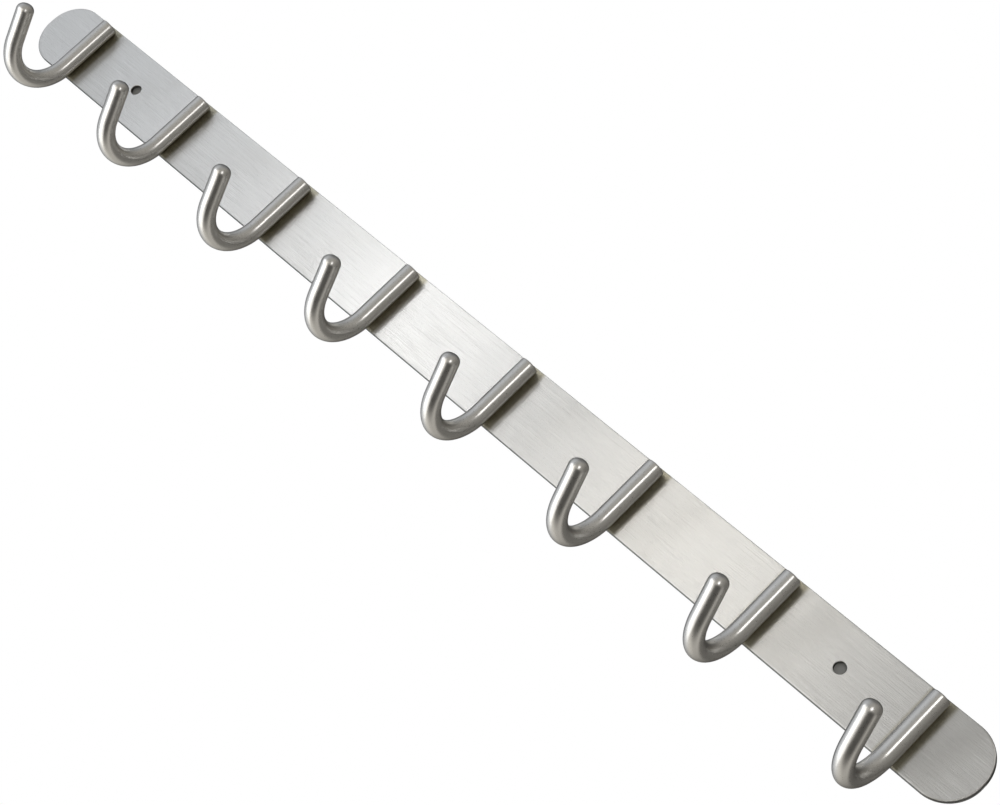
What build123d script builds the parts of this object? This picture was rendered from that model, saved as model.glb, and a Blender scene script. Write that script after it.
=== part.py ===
# Wall coat rack: a flat steel rail with a row of bent-rod hooks welded to its face.
#
# All sizes are in millimetres. X runs along the rail, Y points into the wall and
# Z points up. The origin lies on the rail's back face, midway between the two
# screw holes, so the wall is the plane Y = 0.

from build123d import *

import os

# Rail: a flat bar with rounded ends and softened edges
rail_width = 32.0
rail_thickness = 2.0
end_margin = 31.25
end_flat_height = 1.6
front_edge_radius = 1.0
back_edge_break = 0.2

# Screw holes
screw_hole_diameter = 5.0
hole_edge_break = 0.25

# Hooks: round rod, bent once and welded on by its straight leg
hook_count = 8
hook_pitch = 71.5
rod_diameter = 8.0
weld_flat_depth = 0.3
rod_top_inset = 1.6
rod_top_edge_radius = 0.8
bend_start_inset = 2.5
bend_radius = 18.5
bend_angle = 140.5
front_leg_length = 17.5
tip_flat_diameter = 1.6

# The rail reaches past the outermost hooks by the same margin at both ends, and
# the corners of an end leave only a short straight stretch between them
rail_length = (hook_count - 1) * hook_pitch + 2 * end_margin
end_corner_radius = (rail_width - end_flat_height) / 2

# Each screw hole lies midway between the last two hooks at its end
screw_spacing = (hook_count - 2) * hook_pitch

# The rod lies against the rail's face, pressed in by the depth of its weld flat
rod_radius = rod_diameter / 2
rod_y = -(rail_thickness + rod_radius - weld_flat_depth)
rod_top = rail_width / 2 - rod_top_inset
bend_start = -rail_width / 2 + bend_start_inset
tip_dome_radius = (rod_diameter - tip_flat_diameter) / 2


def export(part, name):
    """Label one finished piece and write it to its own file."""
    part.label = name
    export_step(part, f"parts/{name}.step")


def make_rail():
    """Cut the rail from flat bar: rounded ends, softened edges, two screw holes."""
    with BuildPart() as rail:
        with BuildSketch(Plane.XZ):
            RectangleRounded(rail_length, rail_width, end_corner_radius)
        extrude(amount=rail_thickness)
        front_outline = rail.faces().sort_by(Axis.Y)[0].edges()
        back_outline = rail.faces().sort_by(Axis.Y)[-1].edges()
        fillet(front_outline, front_edge_radius)
        chamfer(back_outline, back_edge_break)
        with Locations(Plane.XZ.offset(rail_thickness)):
            with GridLocations(screw_spacing, rail_width, 2, 1):
                Hole(screw_hole_diameter / 2)
        hole_rims = rail.edges(Select.LAST).filter_by(GeomType.CIRCLE)
        chamfer(hole_rims, hole_edge_break)
    return rail.part


def make_hook(hook_x):
    """Bend one hook in the plane X = hook_x and flatten its back where it is welded."""
    with BuildPart() as hook:
        with BuildLine(Plane.YZ.offset(hook_x)) as rod_path:
            rear_leg = Line((rod_y, rod_top), (rod_y, bend_start))
            bend = JernArc(rear_leg @ 1, rear_leg % 1, bend_radius, -bend_angle)
            front_leg = PolarLine(bend @ 1, front_leg_length, direction=bend % 1)
        with BuildSketch(Plane(origin=rear_leg @ 0, z_dir=rear_leg % 0)):
            Circle(rod_radius)
        sweep(path=rod_path.line)
        rims = hook.edges().filter_by(GeomType.CIRCLE)
        top_edge = rims.sort_by_distance(rear_leg @ 0)[0]
        tip_edge = rims.sort_by_distance(front_leg @ 1)[0]
        fillet(top_edge, rod_top_edge_radius)
        fillet(tip_edge, tip_dome_radius)
        split(bisect_by=Plane.XZ.offset(rail_thickness), keep=Keep.TOP)
    return hook.part


os.makedirs("parts", exist_ok=True)

export(make_rail(), "rail")

for number in range(1, hook_count + 1):
    hook_x = (number - (hook_count + 1) / 2) * hook_pitch
    export(make_hook(hook_x), f"hook_{number}")
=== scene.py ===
"""Wall coat rack in brushed steel: a flat rail and a row of eight bent-rod hooks.

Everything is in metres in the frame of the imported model: X runs along the rail,
Y points into the wall and Z points up. The rail's back lies in the plane Y = 0.
"""

import math

import bpy
from mathutils import Euler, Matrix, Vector


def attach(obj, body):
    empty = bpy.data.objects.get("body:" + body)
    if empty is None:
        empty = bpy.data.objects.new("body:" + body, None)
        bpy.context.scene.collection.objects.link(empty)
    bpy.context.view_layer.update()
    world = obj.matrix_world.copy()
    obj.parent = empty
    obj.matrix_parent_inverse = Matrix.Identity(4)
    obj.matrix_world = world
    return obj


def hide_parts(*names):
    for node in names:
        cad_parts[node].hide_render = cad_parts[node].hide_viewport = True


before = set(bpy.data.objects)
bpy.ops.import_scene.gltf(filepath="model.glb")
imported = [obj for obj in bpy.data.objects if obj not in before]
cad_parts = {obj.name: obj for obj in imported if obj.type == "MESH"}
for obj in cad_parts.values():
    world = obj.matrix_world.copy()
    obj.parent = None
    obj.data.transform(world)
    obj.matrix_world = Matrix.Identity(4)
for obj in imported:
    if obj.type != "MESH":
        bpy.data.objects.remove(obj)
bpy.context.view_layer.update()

MM = 0.001

# Rail: a flat bar with rounded ends and softened edges
RAIL_WIDTH = 32.0 * MM
RAIL_THICKNESS = 2.0 * MM
END_MARGIN = 31.25 * MM
END_FLAT_HEIGHT = 1.6 * MM
FRONT_EDGE_RADIUS = 1.0 * MM
BACK_EDGE_BREAK = 0.2 * MM
SCREW_HOLE_DIAMETER = 5.0 * MM
HOLE_EDGE_BREAK = 0.25 * MM

# Hooks: round rod, bent once and welded on by its straight leg
HOOK_COUNT = 8
HOOK_PITCH = 71.5 * MM
ROD_RADIUS = 4.0 * MM
WELD_FLAT_DEPTH = 0.3 * MM
ROD_TOP_INSET = 1.6 * MM
TOP_EDGE_RADIUS = 0.8 * MM
BEND_START_INSET = 2.5 * MM
BEND_RADIUS = 18.5 * MM
BEND_ANGLE = math.radians(140.5)
FRONT_LEG_LENGTH = 17.5 * MM
TIP_FLAT_RADIUS = 0.8 * MM

# Sizes and places that follow from those
RAIL_LENGTH = (HOOK_COUNT - 1) * HOOK_PITCH + 2 * END_MARGIN
RAIL_END_RADIUS = (RAIL_WIDTH - END_FLAT_HEIGHT) / 2
SCREW_SPACING = (HOOK_COUNT - 2) * HOOK_PITCH
ROD_AXIS_Y = -(RAIL_THICKNESS + ROD_RADIUS - WELD_FLAT_DEPTH)
ROD_TOP_Z = RAIL_WIDTH / 2 - ROD_TOP_INSET
BEND_START_Z = -RAIL_WIDTH / 2 + BEND_START_INSET
TIP_DOME_RADIUS = ROD_RADIUS - TIP_FLAT_RADIUS

# How finely the curves are divided, and how near to each other points become one
CORNER_POINTS = 40
EDGE_ARC_POINTS = 14
HOLE_POINTS = 64
ROD_TOP_POINTS, ROD_RUN_POINTS, ROD_TIP_POINTS = 6, 84, 12
ROD_RING_POINTS = 48
WELD_DISTANCE = 0.002 * MM

# Steel: darkest and lightest colour, range of roughness, strength of the relief, the
# rods' tint where they are seen at a flat angle, and the colours of two painted shades on
# the rail
RAIL_DARK, RAIL_LIGHT = (0.745, 0.74, 0.725), (0.78, 0.775, 0.76)
RAIL_ROUGH, RAIL_LEAN = (0.42, 0.45), 4.5
ROD_DARK, ROD_LIGHT = (0.60, 0.59, 0.565), (0.68, 0.67, 0.65)
ROD_ROUGH, ROD_BUMP = (0.26, 0.32), 0.003 * MM
ROD_GLANCE = (0.25, 0.25, 0.25)
# Painted shade: the edge flat and hole walls, darker than cut steel is
CUT_EDGE_SHADE = (0.14, 0.14, 0.134)
# Painted shade: the rods' shadow and dark reflection beside each hook
PAINTED_ROD_SHADE = (0.63, 0.60, 0.49)

# Grain of each piece; a line is a scratch, and a streak is many of them side by side
RAIL_GRAIN = {
    "Line width": 0.3 * MM, "Line length": 18 * MM, "Streak width": 1.6 * MM,
    "Streak share": 0.45, "Line share": 0.005,
}
ROD_GRAIN = {
    "Line width": 0.3 * MM, "Line length": 1.2 * MM, "Streak width": 1.2 * MM,
    "Streak share": 0.3, "Line share": 1.0,
}
GRAIN_CONTRAST = (0.3, 0.7)

# Painted shade on the rail, each from where it is absent to where it is full: the rods'
# shadow and reflection by distance from the middle of a hook and by Y, the duller, shaded
# cut metal of edge and holes by Y
ROD_SHADE_REACH = (7.2 * MM, 4.8 * MM)
ROD_SHADE_START = (-1.40 * MM, -1.70 * MM)
EDGE_FRONT = (-1.80 * MM, -1.55 * MM)
EDGE_BACK = (-0.05 * MM, -0.15 * MM)
HOLE_FRONT = (-1.84 * MM, -1.78 * MM)


class Nodes:
    """Adds nodes to one tree and joins them as they are added."""

    def __init__(self, tree):
        self.tree = tree

    def link(self, value, socket):
        self.tree.links.new(value, socket)

    def add(self, kind, inputs=(), **settings):
        """Add one node, apply its settings, then fill or link its inputs by name or place."""
        node = self.tree.nodes.new(kind)
        for name, value in settings.items():
            setattr(node, name, value)
        for key, value in dict(inputs).items():
            socket = node.inputs[key]
            if isinstance(value, bpy.types.NodeSocket):
                self.link(value, socket)
            else:
                socket.default_value = value
        return node

    def math(self, operation, first, second=0.0, clamp=False):
        """One Math node; returns its result."""
        inputs = {0: first, 1: second}
        return self.add("ShaderNodeMath", inputs, operation=operation, use_clamp=clamp).outputs[0]

    def plus(self, first, second):
        return self.math("ADD", first, second)

    def minus(self, first, second):
        return self.math("SUBTRACT", first, second)

    def times(self, first, second):
        return self.math("MULTIPLY", first, second)

    def over(self, first, second):
        return self.math("DIVIDE", first, second)

    def vector(self, x=0.0, y=0.0, z=0.0):
        """Three values as one vector."""
        return self.add("ShaderNodeCombineXYZ", {0: x, 1: y, 2: z}).outputs[0]

    def split(self, vector):
        """One vector as its three values."""
        return self.add("ShaderNodeSeparateXYZ", {0: vector}).outputs

    def vector_math(self, operation, inputs):
        """One Vector Math node; returns its vector result."""
        return self.add("ShaderNodeVectorMath", inputs, operation=operation).outputs[0]

    def ramp(self, value, low, high, to_low=0.0, to_high=1.0, smooth=True):
        """Value taken from low..high to to_low..to_high, held at both ends."""
        style = "SMOOTHSTEP" if smooth else "LINEAR"
        inputs = {0: value, 1: low, 2: high, 3: to_low, 4: to_high}
        node = self.add("ShaderNodeMapRange", inputs, interpolation_type=style, clamp=True)
        return node.outputs[0]

    def mix(self, share, first, second, blend="MIX"):
        """The first colour, mixed with the second by that share."""
        inputs = {0: share, 6: first, 7: second}
        return self.add("ShaderNodeMix", inputs, data_type="RGBA", blend_type=blend).outputs[2]


# Shapes

LENGTH = "NodeSocketFloat"
NUMBER = "NodeSocketInt"


def new_tree(name, sizes):
    """A Geometry Nodes tree with named size inputs, a material input and one output."""
    tree = bpy.data.node_groups.new(name, "GeometryNodeTree")
    tree.interface.new_socket(name="Geometry", in_out="OUTPUT", socket_type="NodeSocketGeometry")
    for size, kind in sizes:
        tree.interface.new_socket(name=size, in_out="INPUT", socket_type=kind)
    tree.interface.new_socket(name="Material", in_out="INPUT", socket_type="NodeSocketMaterial")
    return tree


def point_line(n, count):
    """A poly curve with that many points, and the place of each point in it."""
    line = n.add("GeometryNodeMeshLine", {"Count": count}).outputs[0]
    curve = n.add("GeometryNodeMeshToCurve", {"Mesh": line}).outputs[0]
    return curve, n.add("GeometryNodeInputIndex").outputs[0]


def placed(n, geometry, position):
    """The geometry with its points moved to position."""
    inputs = {"Geometry": geometry, "Position": position}
    return n.add("GeometryNodeSetPosition", inputs).outputs[0]


def step(n, index, start, length=1):
    """Rises from 0 to 1 while the index goes from start on over length points."""
    return n.math("DIVIDE", n.minus(index, start), length, clamp=True)


def joined(n, *parts):
    """The parts as one geometry."""
    node = n.add("GeometryNodeJoinGeometry")
    for part in parts:
        n.link(part, node.inputs[0])
    return node.outputs[0]


def smooth(n, geometry):
    """The geometry with its faces shaded smooth."""
    return n.add("GeometryNodeSetShadeSmooth", {"Geometry": geometry}).outputs[0]


def stored(n, geometry, name, value, kind, domain="POINT"):
    """The geometry with a value kept on it under that name."""
    inputs = {"Geometry": geometry, "Name": name, "Value": value}
    node = n.add("GeometryNodeStoreNamedAttribute", inputs, data_type=kind, domain=domain)
    return node.outputs[0]


def recalled(n, name, kind):
    """A value that was kept under that name."""
    return n.add("GeometryNodeInputNamedAttribute", {"Name": name}, data_type=kind).outputs[0]


def finish(n, geometry, material):
    """End a tree with Realize Instances and Set Material."""
    real = n.add("GeometryNodeRealizeInstances", {"Geometry": geometry}).outputs[0]
    done = n.add("GeometryNodeSetMaterial", {"Geometry": real, "Material": material}).outputs[0]
    n.add("NodeGroupOutput", {"Geometry": done})


def build_rail_tree():
    """Flat bar: a swept edge band, two hole walls and both faces, made lying on its back."""
    sizes = ["Length", "Width", "Thickness", "End radius", "Front edge radius", "Back edge break"]
    sizes += ["Screw spacing", "Screw hole diameter", "Hole edge break"]
    tree = new_tree("Rail", [(size, LENGTH) for size in sizes])
    n = Nodes(tree)
    given = n.add("NodeGroupInput").outputs
    round_radius, back_break = given["Front edge radius"], given["Back edge break"]
    thickness, hole_break = given["Thickness"], given["Hole edge break"]

    # Outline of the flat front face
    inset = n.times(round_radius, 2.0)
    size = {"Width": n.minus(given["Length"], inset), "Height": n.minus(given["Width"], inset)}
    corners = n.add("GeometryNodeCurvePrimitiveQuadrilateral", size).outputs[0]
    corner_radius = n.minus(given["End radius"], round_radius)
    rounding = {"Curve": corners, "Count": CORNER_POINTS, "Radius": corner_radius}
    outline = n.add("GeometryNodeFilletCurve", rounding, mode="POLY").outputs[0]

    # Section of the edge: the front round, then side, back break and back strip, all straight
    section, index = point_line(n, EDGE_ARC_POINTS + 4)
    turn = n.times(step(n, index, 0, EDGE_ARC_POINTS), math.pi / 2)
    side, chamfer, strip = (step(n, index, EDGE_ARC_POINTS + k) for k in range(3))
    out = n.times(round_radius, n.math("SINE", turn))
    out = n.minus(out, n.times(back_break, chamfer))
    out = n.minus(out, n.times(n.minus(round_radius, back_break), strip))
    down = n.times(round_radius, n.minus(1.0, n.math("COSINE", turn)))
    side_height = n.minus(n.minus(thickness, round_radius), back_break)
    down = n.plus(down, n.plus(n.times(side_height, side), n.times(back_break, chamfer)))
    section = placed(n, section, n.vector(out, n.minus(down, thickness)))
    sweep = {"Curve": outline, "Profile Curve": section}
    band = smooth(n, n.add("GeometryNodeCurveToMesh", sweep).outputs[0])

    # Screw holes with broken edges
    hole_radius = n.plus(n.times(given["Screw hole diameter"], 0.5), hole_break)
    rim = {"Resolution": HOLE_POINTS, "Radius": hole_radius}
    rim = n.add("GeometryNodeCurvePrimitiveCircle", rim).outputs[0]
    half = n.times(given["Screw spacing"], 0.5)
    ends = {"Start Location": n.vector(n.times(half, -1.0)), "Offset": n.vector(half)}
    ends = n.add("GeometryNodeMeshLine", {"Count": 2, **ends}, mode="END_POINTS").outputs[0]
    rims = n.add("GeometryNodeInstanceOnPoints", {"Points": ends, "Instance": rim}).outputs[0]
    rims = n.add("GeometryNodeRealizeInstances", {"Geometry": rims}).outputs[0]
    section, index = point_line(n, 4)
    front, wall, back = (step(n, index, k) for k in range(3))
    inward = n.times(hole_break, n.minus(front, back))
    wall_height = n.minus(thickness, n.times(hole_break, 2.0))
    down = n.plus(n.times(hole_break, n.plus(front, back)), n.times(wall_height, wall))
    section = placed(n, section, n.vector(n.times(inward, -1.0), n.minus(down, thickness)))
    sweep = {"Curve": rims, "Profile Curve": section}
    walls = n.add("GeometryNodeCurveToMesh", sweep).outputs[0]
    walls = smooth(n, n.add("GeometryNodeFlipFaces", {"Mesh": walls}).outputs[0])
    walls = stored(n, walls, "drilled", 1.0, "FLOAT", "FACE")

    # Front and back faces, pierced by the holes, on the same points as the edges
    loops = joined(n, outline, rims)
    face = n.add("GeometryNodeFillCurve", {"Curve": loops}, mode="TRIANGLES").outputs[0]
    lifted = {"Geometry": face, "Translation": n.vector(0.0, 0.0, thickness)}
    front_face = n.add("GeometryNodeTransform", lifted).outputs[0]
    back_face = n.add("GeometryNodeFlipFaces", {"Mesh": face}).outputs[0]

    # The shell is welded along its seams and stood up with its back to the wall
    welded = {"Geometry": joined(n, band, walls, front_face, back_face), "Distance": WELD_DISTANCE}
    welded = n.add("GeometryNodeMergeByDistance", welded).outputs[0]
    upright = {"Geometry": welded, "Rotation": (math.pi / 2, 0.0, 0.0)}
    upright = n.add("GeometryNodeTransform", upright).outputs[0]

    # The UV map runs across the grain first, so that the shine spreads across it
    place = n.split(n.add("GeometryNodeInputPosition").outputs[0])
    across_grain = n.vector(n.minus(place[2], place[1]), place[0])
    mapped = stored(n, upright, "grain", across_grain, "FLOAT2", "CORNER")
    finish(n, mapped, given["Material"])
    return tree


def build_hooks_tree():
    """A row of round rods, each bent once to a J and flattened where it meets the rail."""
    sizes = ["Pitch", "Rod radius", "Axis depth", "Top", "Rear leg", "Bend radius", "Bend angle"]
    sizes += ["Front leg", "Top edge radius", "Tip radius", "Rail front"]
    tree = new_tree("Hooks", [("Count", NUMBER), *((size, LENGTH) for size in sizes)])
    n = Nodes(tree)
    given = n.add("NodeGroupInput").outputs
    rod_radius, rear_leg = given["Rod radius"], given["Rear leg"]
    bend_radius, bend_angle = given["Bend radius"], given["Bend angle"]
    top_round, tip_round = given["Top edge radius"], given["Tip radius"]

    # Stations along the rod, close together where its two ends are rounded
    tip_start = ROD_TOP_POINTS + ROD_RUN_POINTS
    rod, index = point_line(n, tip_start + ROD_TIP_POINTS + 1)
    top_turn = n.times(step(n, index, 0, ROD_TOP_POINTS), math.pi / 2)
    run = step(n, index, ROD_TOP_POINTS, ROD_RUN_POINTS)
    tip_turn = n.times(step(n, index, tip_start, ROD_TIP_POINTS), math.pi / 2)
    bend_length = n.times(bend_radius, bend_angle)
    rod_length = n.plus(n.plus(rear_leg, bend_length), given["Front leg"])
    run_length = n.minus(n.minus(rod_length, top_round), tip_round)
    along = n.times(top_round, n.minus(1.0, n.math("COSINE", top_turn)))
    along = n.plus(along, n.times(run_length, run))
    along = n.plus(along, n.times(tip_round, n.math("SINE", tip_turn)))
    thinner = n.times(top_round, n.minus(1.0, n.math("SINE", top_turn)))
    thinner = n.plus(thinner, n.times(tip_round, n.minus(1.0, n.math("COSINE", tip_turn))))
    radius = n.minus(rod_radius, thinner)

    # Centre line: down the rear leg, round the bend, up the front leg
    past_leg = n.math("MAXIMUM", n.minus(along, rear_leg), 0.0)
    on_bend = n.math("MINIMUM", past_leg, bend_length)
    past_bend = n.minus(past_leg, on_bend)
    angle = n.over(on_bend, bend_radius)
    sine, cosine = n.math("SINE", angle), n.math("COSINE", angle)
    forward = n.plus(n.times(bend_radius, n.minus(1.0, cosine)), n.times(past_bend, sine))
    fall = n.plus(n.math("MINIMUM", along, rear_leg), n.times(bend_radius, sine))
    fall = n.plus(fall, n.times(past_bend, cosine))
    centre = n.vector(0.0, n.minus(given["Axis depth"], forward), n.minus(given["Top"], fall))
    rod = stored(n, placed(n, rod, centre), "along", along, "FLOAT")

    # Skin: a ring of that radius at each station
    ring = {"Resolution": ROD_RING_POINTS, "Radius": 1.0}
    ring = n.add("GeometryNodeCurvePrimitiveCircle", ring).outputs[0]
    position = n.add("GeometryNodeInputPosition").outputs[0]
    ring = stored(n, ring, "around", position, "FLOAT_VECTOR")
    sweep = {"Curve": rod, "Profile Curve": ring, "Scale": radius, "Fill Caps": True}
    skin = smooth(n, n.add("GeometryNodeCurveToMesh", sweep).outputs[0])

    # Each point's place on the rod before it was bent, which the finish follows
    around = n.split(recalled(n, "around", "FLOAT_VECTOR"))
    length = recalled(n, "along", "FLOAT")
    sides = [n.times(around[k], rod_radius) for k in (0, 1)]
    skin = stored(n, skin, "rod_place", n.vector(length, *sides), "FLOAT_VECTOR")
    skin = stored(n, skin, "grain", n.vector(length, sides[0]), "FLOAT2", "CORNER")

    # Weld flat: nothing reaches past the rail's front face
    place = n.split(position)
    clear = n.math("MINIMUM", place[1], given["Rail front"])
    skin = placed(n, skin, n.vector(place[0], clear, place[2]))

    # The same hook at each station of the row
    span = n.times(n.minus(given["Count"], 1), given["Pitch"])
    row = {"Count": given["Count"], "Offset": n.vector(given["Pitch"])}
    row["Start Location"] = n.vector(n.times(span, -0.5))
    row = n.add("GeometryNodeMeshLine", row).outputs[0]
    hooks = n.add("GeometryNodeInstanceOnPoints", {"Points": row, "Instance": skin}).outputs[0]
    finish(n, hooks, given["Material"])
    return tree


def grown(name, tree, values, material):
    """Run a tree on a new object, bake the result and return it as a plain mesh object."""
    seed = bpy.data.objects.new(name + "_seed", bpy.data.meshes.new(name + "_seed"))
    bpy.context.collection.objects.link(seed)
    modifier = seed.modifiers.new("Grow", "NODES")
    modifier.node_group = tree
    values = {**values, "Material": material}
    for item in tree.interface.items_tree:
        if item.in_out == "INPUT":
            modifier[item.identifier] = values[item.name]
    graph = bpy.context.evaluated_depsgraph_get()
    mesh = bpy.data.meshes.new_from_object(seed.evaluated_get(graph))
    mesh.name = name
    seed.modifiers.remove(modifier)
    bpy.data.objects.remove(seed)
    piece = bpy.data.objects.new(name, mesh)
    bpy.context.collection.objects.link(piece)
    return piece


# Materials


def new_material(name):
    """An empty material, with its nodes and its shader."""
    material = bpy.data.materials.new(name)
    material.use_nodes = True
    return material, Nodes(material.node_tree), material.node_tree.nodes["Principled BSDF"]


def build_grain_group():
    """Fine parallel lines left by grinding, and the broader streaks they gather into."""
    group = bpy.data.node_groups.new("Ground grain", "ShaderNodeTree")
    sockets = group.interface
    sockets.new_socket(name="Place", in_out="INPUT", socket_type="NodeSocketVector")
    for name in RAIL_GRAIN:
        sockets.new_socket(name=name, in_out="INPUT", socket_type="NodeSocketFloat")
    for name in ("Tone", "Height"):
        sockets.new_socket(name=name, in_out="OUTPUT", socket_type="NodeSocketFloat")
    n = Nodes(group)
    given = n.add("NodeGroupInput").outputs
    line_width, line_length = given["Line width"], given["Line length"]
    streak_share, line_share = given["Streak share"], given["Line share"]
    place = n.split(given["Place"])

    def lines(width, length, detail):
        """Noise stretched along X."""
        along = n.over(place[0], length)
        sides = [n.over(place[k], width) for k in (1, 2)]
        noise = {"Vector": n.vector(along, *sides), "Scale": 1.0, "Detail": detail, "Roughness": 0.65}
        return n.add("ShaderNodeTexNoise", noise, noise_dimensions="3D").outputs[0]

    # Hairs are a tenth as wide as the lines, and streaks two and a half times as long
    hair_width, streak_length = n.times(line_width, 0.1), n.times(line_length, 2.5)
    fine = lines(line_width, line_length, detail=3.0)
    hair = lines(hair_width, line_length, detail=1.0)
    broad = lines(given["Streak width"], streak_length, detail=2.0)
    tone = n.plus(n.times(broad, streak_share), n.times(fine, n.minus(1.0, streak_share)))
    relief = n.plus(n.times(fine, line_share), n.times(hair, n.minus(1.0, line_share)))
    n.add("NodeGroupOutput", {"Tone": tone, "Height": relief})
    return group


GRAIN = build_grain_group()


def ground_steel(n, steel, place, sizes, rough, anisotropy):
    """Bare metal that shines across its grain and whose roughness follows it.

    Returns the grain's tone and its relief.
    """
    steel.inputs["Metallic"].default_value = 1.0
    steel.inputs["Anisotropic"].default_value = anisotropy
    tangent = n.add("ShaderNodeTangent", direction_type="UV_MAP", uv_map="grain").outputs[0]
    n.link(tangent, steel.inputs["Tangent"])
    grain = n.add("ShaderNodeGroup", {"Place": place, **sizes}, node_tree=GRAIN).outputs
    tone = n.ramp(grain["Tone"], *GRAIN_CONTRAST, smooth=False)
    n.link(n.ramp(tone, 0.0, 1.0, *rough, smooth=False), steel.inputs["Roughness"])
    return tone, grain["Height"]


def leaning_normal(n, relief, lean):
    """The surface normal, leaning to either side of the grain as the flanks of its lines do."""
    normal = n.add("ShaderNodeNewGeometry").outputs["Normal"]
    to_world = {"vector_type": "VECTOR", "convert_from": "OBJECT", "convert_to": "WORLD"}
    grain = n.add("ShaderNodeVectorTransform", {0: (1.0, 0.0, 0.0)}, **to_world).outputs[0]
    across = n.vector_math("CROSS_PRODUCT", {0: normal, 1: grain})
    amount = n.times(n.minus(relief, 0.5), lean)
    slope = n.vector_math("SCALE", {0: across, "Scale": amount})
    return n.vector_math("NORMALIZE", {0: n.vector_math("ADD", {0: normal, 1: slope})})


def brushed_steel():
    """Rail finish: straight brushing along the rail, with painted shade beside the hooks and on the
    cut edges.
    """
    material, n, steel = new_material("rail_brushed_steel")
    place = n.add("ShaderNodeTexCoord").outputs["Object"]
    tone, relief = ground_steel(n, steel, place, RAIL_GRAIN, RAIL_ROUGH, anisotropy=1.0)
    n.link(leaning_normal(n, relief, RAIL_LEAN), steel.inputs["Normal"])
    spot = n.split(place)
    depth = spot[1]

    # Painted shade: the rods' shadow and dark reflection on the rail along both sides of each weld
    station = n.math("FRACT", n.over(spot[0], HOOK_PITCH))
    off_hook = n.times(n.math("ABSOLUTE", n.minus(station, 0.5)), HOOK_PITCH)
    painted_rod_shade = n.times(n.ramp(off_hook, *ROD_SHADE_REACH), n.ramp(depth, *ROD_SHADE_START))

    # Cut metal, duller than the faces and darkened further as painted shade: the flat of the edge and
    # the walls of the screw holes
    side = n.times(n.ramp(depth, *EDGE_FRONT), n.ramp(depth, *EDGE_BACK))
    drilled = n.add("ShaderNodeAttribute", attribute_name="drilled").outputs["Fac"]
    cut = n.math("MAXIMUM", side, n.times(drilled, n.ramp(depth, *HOLE_FRONT)))

    shade = n.mix(tone, (*RAIL_DARK, 1.0), (*RAIL_LIGHT, 1.0))
    # Painted shade: the rods' shadow beside each hook, then the darkened cut metal
    shade = n.mix(painted_rod_shade, shade, (*PAINTED_ROD_SHADE, 1.0), "MULTIPLY")
    n.link(n.mix(cut, shade, (*CUT_EDGE_SHADE, 1.0)), steel.inputs["Base Color"])
    return material


def satin_steel():
    """Hook finish: evenly ground round rod."""
    material, n, steel = new_material("hook_satin_steel")
    place = n.add("ShaderNodeAttribute", attribute_name="rod_place").outputs["Vector"]
    tone, relief = ground_steel(n, steel, place, ROD_GRAIN, ROD_ROUGH, anisotropy=0.5)
    steel.inputs["Specular Tint"].default_value = (*ROD_GLANCE, 1.0)
    relief = {"Height": relief, "Distance": ROD_BUMP, "Strength": 1.0}
    n.link(n.add("ShaderNodeBump", relief).outputs[0], steel.inputs["Normal"])
    shade = n.mix(tone, (*ROD_DARK, 1.0), (*ROD_LIGHT, 1.0))
    n.link(shade, steel.inputs["Base Color"])
    return material


# Pieces

rail = grown("rail_bar", build_rail_tree(), {
    "Length": RAIL_LENGTH, "Width": RAIL_WIDTH, "Thickness": RAIL_THICKNESS,
    "End radius": RAIL_END_RADIUS, "Front edge radius": FRONT_EDGE_RADIUS,
    "Back edge break": BACK_EDGE_BREAK, "Screw spacing": SCREW_SPACING,
    "Screw hole diameter": SCREW_HOLE_DIAMETER, "Hole edge break": HOLE_EDGE_BREAK,
}, brushed_steel())
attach(rail, "root")
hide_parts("rail")

hooks = grown("hook_rods", build_hooks_tree(), {
    "Count": HOOK_COUNT, "Pitch": HOOK_PITCH, "Rod radius": ROD_RADIUS,
    "Axis depth": ROD_AXIS_Y, "Top": ROD_TOP_Z, "Rear leg": ROD_TOP_Z - BEND_START_Z,
    "Bend radius": BEND_RADIUS, "Bend angle": BEND_ANGLE, "Front leg": FRONT_LEG_LENGTH,
    "Top edge radius": TOP_EDGE_RADIUS, "Tip radius": TIP_DOME_RADIUS,
    "Rail front": -RAIL_THICKNESS,
}, satin_steel())
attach(hooks, "root")
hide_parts(*[f"hook_{number}" for number in range(1, HOOK_COUNT + 1)])


# Studio

WHITE = (1.0, 1.0, 1.0)

# Colour of the light from the left, from straight ahead and from the right
COOL, NEUTRAL, WARM = (0.955, 0.99, 1.04), (0.995, 0.99, 0.985), (1.0, 0.955, 0.88)

# The room that the steel reflects: brightness of its walls in front of the rack and
# behind it, and of its floor
FRONT_WALL, REAR_WALL, ROOM_FLOOR = 0.45, 0.24, 0.64
WARM_ROOM = (1.0, 0.965, 0.895)

# Where the room changes, by the Y, the Z and the X of the direction looked in
FRONT_TO_REAR = (-0.6, 0.6)
WALLS_TO_FLOOR = (-0.02, -0.32)
COOL_TO_WARM = (-0.8, 0.1)

# Soft patches on the room's walls and floor: azimuth and elevation, the angles within
# which a patch is full and outside which it is gone, and the brightness it adds
WALL_PATCHES = ((-85, 5, 20, 65, 0.24), (-147, 12, 10, 50, -0.20), (80, 25, 10, 60, -0.10))
FLOOR_PATCHES = ((-140, -50, 15, 50, 0.30), (66, -44, 15, 52, -0.57))

PANEL_DISTANCE = 0.92

# Panels that light the hooks: azimuth, radiance and colour of each
HOOK_PANELS = ((-58, 1.1, COOL), (-42, 1.5, NEUTRAL), (-26, 0.6, NEUTRAL), (-10, 0.7, WARM))
HOOK_PANEL_ELEVATION, HOOK_PANEL_WIDTH, HOOK_PANEL_HEIGHT = -34, 0.26, 0.96

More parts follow.
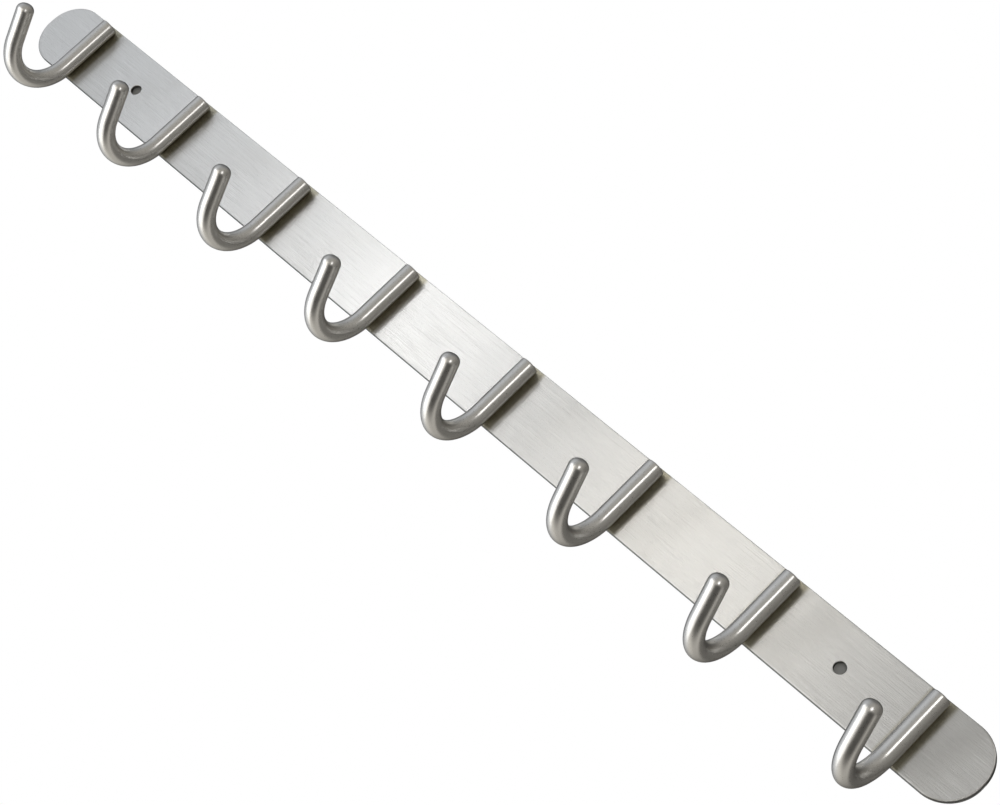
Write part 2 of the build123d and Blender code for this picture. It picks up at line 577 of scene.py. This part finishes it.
# Panels that light the rail: azimuth, width, radiance and colour of each
RAIL_PANELS = (
    (-55, 0.20, 0.62, COOL),
    (-46, 0.10, 1.1, NEUTRAL),
    (-36.5, 0.14, 4.2, NEUTRAL),
    (-18.5, 0.22, 2.6, WARM),
    (-9, 0.14, 0.4, WARM),
)
RAIL_PANEL_ELEVATION, RAIL_PANEL_HEIGHT = 15, 0.50

# Floor below the rack, and a grey disc behind each screw hole as painted shade seen through it
FLOOR_SIZE, FLOOR_HEIGHT = 4.0, -1.2
FLOOR_PAINT, FLOOR_ROUGH, FLOOR_GLOW = (0.86, 0.86, 0.86), 0.9, 0.45
HOLE_SHADE_PAINT = (0.36, 0.36, 0.35)
SHADE_DISC_RADIUS, SHADE_DISC_GAP = 4 * MM, 0.3 * MM

# Camera: lens on a 36 mm sensor, place, and turn about X, Y and Z in degrees
CAMERA_LENS, CAMERA_SENSOR = 86.894, 36.0
CAMERA_PLACE = (0.52540, -0.79681, -0.17589)
CAMERA_TURN = (104.7963, -44.9224, 21.0401)


def direction(azimuth, elevation):
    """Unit vector; azimuth turns from the rack's front towards +X."""
    a, e = math.radians(azimuth), math.radians(elevation)
    return Vector((math.sin(a) * math.cos(e), -math.cos(a) * math.cos(e), math.sin(e)))


def softbox(name, azimuth, elevation, distance, width, height, radiance, tint=WHITE, only=None):
    """An area lamp that faces the rack from that direction, and may light one piece only.

    A radiance of 1 is that of the white background, and takes 4 watts per square metre.
    """
    data = bpy.data.lights.new(name, "AREA")
    data.shape = "RECTANGLE"
    data.size, data.size_y = width, height
    data.energy = radiance * 4.0 * width * height
    data.color = tint
    lamp = bpy.data.objects.new(name, data)
    bpy.context.collection.objects.link(lamp)
    place = direction(azimuth, elevation) * distance
    lamp.location = place
    lamp.rotation_euler = place.to_track_quat("Z", "Y").to_euler()
    lamp.visible_camera = False
    if only is not None:
        chosen = bpy.data.collections.new(name + "_lights")
        chosen.objects.link(only)
        lamp.light_linking.receiver_collection = chosen


def build_lamps():
    """Low panels for the hooks, level ones and one behind for the rail, and two for both.

    The hooks and the rail have panels of their own, because under the low ones the hooks
    would leave slanted smudges on the rail.
    """
    for azimuth, radiance, tint in HOOK_PANELS:
        softbox(f"hook_panel_{-azimuth}", azimuth, HOOK_PANEL_ELEVATION, PANEL_DISTANCE,
                HOOK_PANEL_WIDTH, HOOK_PANEL_HEIGHT, radiance, tint, only=hooks)
    for number, (azimuth, width, radiance, tint) in enumerate(RAIL_PANELS, 1):
        softbox(f"rail_panel_{number}", azimuth, RAIL_PANEL_ELEVATION, PANEL_DISTANCE,
                width, RAIL_PANEL_HEIGHT, radiance, tint, only=rail)
    softbox("back_panel", azimuth=180, elevation=-15, distance=PANEL_DISTANCE,
            width=2.6, height=0.9, radiance=0.65, only=rail)
    softbox("floor_box", azimuth=-62, elevation=-74, distance=PANEL_DISTANCE,
            width=0.90, height=0.70, radiance=0.8)
    softbox("right_strip", azimuth=35, elevation=7, distance=1.05,
            width=0.24, height=0.42, radiance=2.6)


def build_world():
    """White for the camera and through clear things; otherwise a grey room with a paler floor."""
    world = bpy.data.worlds.new("studio")
    bpy.context.scene.world = world
    world.use_nodes = True
    n = Nodes(world.node_tree)
    n.tree.nodes.clear()
    towards = n.add("ShaderNodeTexCoord").outputs["Generated"]
    axes = n.split(towards)

    def patched(level, patches):
        """The level with the brightness that soft patches add to it."""
        for azimuth, elevation, inner, outer, change in patches:
            dot = {0: towards, 1: direction(azimuth, elevation)}
            dot = n.add("ShaderNodeVectorMath", dot, operation="DOT_PRODUCT").outputs["Value"]
            share = n.ramp(dot, math.cos(math.radians(outer)), math.cos(math.radians(inner)))
            level = n.plus(level, n.times(share, change))
        return level

    walls = patched(n.ramp(axes[1], *FRONT_TO_REAR, FRONT_WALL, REAR_WALL), WALL_PATCHES)
    floor = patched(ROOM_FLOOR, FLOOR_PATCHES)
    below = n.ramp(axes[2], *WALLS_TO_FLOOR)
    level = n.plus(walls, n.times(below, n.minus(floor, walls)))
    tint = n.mix(n.ramp(axes[0], *COOL_TO_WARM), (*COOL, 1.0), (*WARM_ROOM, 1.0))
    room = n.add("ShaderNodeBackground", {0: tint, 1: level}).outputs[0]
    white = n.add("ShaderNodeBackground", {0: (*WHITE, 1.0), 1: 1.0}).outputs[0]
    rays = n.add("ShaderNodeLightPath").outputs
    seen = n.math("MAXIMUM", rays["Is Camera Ray"], rays["Is Transmission Ray"])
    mixed = n.add("ShaderNodeMixShader", {0: seen, 1: room, 2: white}).outputs[0]
    n.add("ShaderNodeOutputWorld", {"Surface": mixed})


def build_floor():
    """Plain pale floor well below the rack; the steel shows the room's floor instead."""
    bpy.ops.mesh.primitive_plane_add(size=FLOOR_SIZE, location=(0.0, 0.0, FLOOR_HEIGHT))
    floor = bpy.context.active_object
    floor.name = "floor"
    material, n, paint = new_material("floor_paint")
    paint.inputs["Base Color"].default_value = (*FLOOR_PAINT, 1.0)
    paint.inputs["Roughness"].default_value = FLOOR_ROUGH
    camera_ray = n.add("ShaderNodeLightPath").outputs["Is Camera Ray"]
    glow = {0: (*WHITE, 1.0), 1: n.times(camera_ray, FLOOR_GLOW)}
    glow = n.add("ShaderNodeEmission", glow).outputs[0]
    both = n.add("ShaderNodeAddShader", {0: paint.outputs[0], 1: glow}).outputs[0]
    n.link(both, n.tree.nodes["Material Output"].inputs["Surface"])
    floor.data.materials.append(material)
    floor.visible_glossy = False
    floor.visible_shadow = False


def build_hole_backs():
    """A grey disc behind each screw hole, put there as painted shade seen through it; clear from
    behind.
    """
    material, n, paint = new_material("shade_behind_holes")
    paint.inputs["Base Color"].default_value = (*HOLE_SHADE_PAINT, 1.0)
    clear = n.add("ShaderNodeBsdfTransparent").outputs[0]
    behind = n.add("ShaderNodeNewGeometry").outputs["Backfacing"]
    mixed = n.add("ShaderNodeMixShader", {0: behind, 1: paint.outputs[0], 2: clear}).outputs[0]
    n.link(mixed, n.tree.nodes["Material Output"].inputs["Surface"])
    # Painted shade: one grey disc just behind each hole
    for side, end in ((-1, "left"), (1, "right")):
        place = (side * SCREW_SPACING / 2, SHADE_DISC_GAP, 0.0)
        bpy.ops.mesh.primitive_circle_add(radius=SHADE_DISC_RADIUS, fill_type="NGON", location=place)
        disc = bpy.context.active_object
        disc.name = "shade_disc_behind_hole_" + end
        disc.rotation_euler = (math.pi / 2, 0.0, 0.0)
        disc.data.materials.append(material)


def build_camera():
    """The photograph's view: from the front right, a little below, and turned on its side."""
    data = bpy.data.cameras.new("camera")
    data.lens = CAMERA_LENS
    data.sensor_width = CAMERA_SENSOR
    data.clip_start = 0.01
    camera = bpy.data.objects.new("camera", data)
    camera.location = CAMERA_PLACE
    camera.rotation_euler = Euler([math.radians(angle) for angle in CAMERA_TURN])
    bpy.context.collection.objects.link(camera)
    bpy.context.scene.camera = camera


build_world()
build_floor()
build_hole_backs()
build_camera()
build_lamps()
bpy.context.scene.view_settings.view_transform = "Standard"
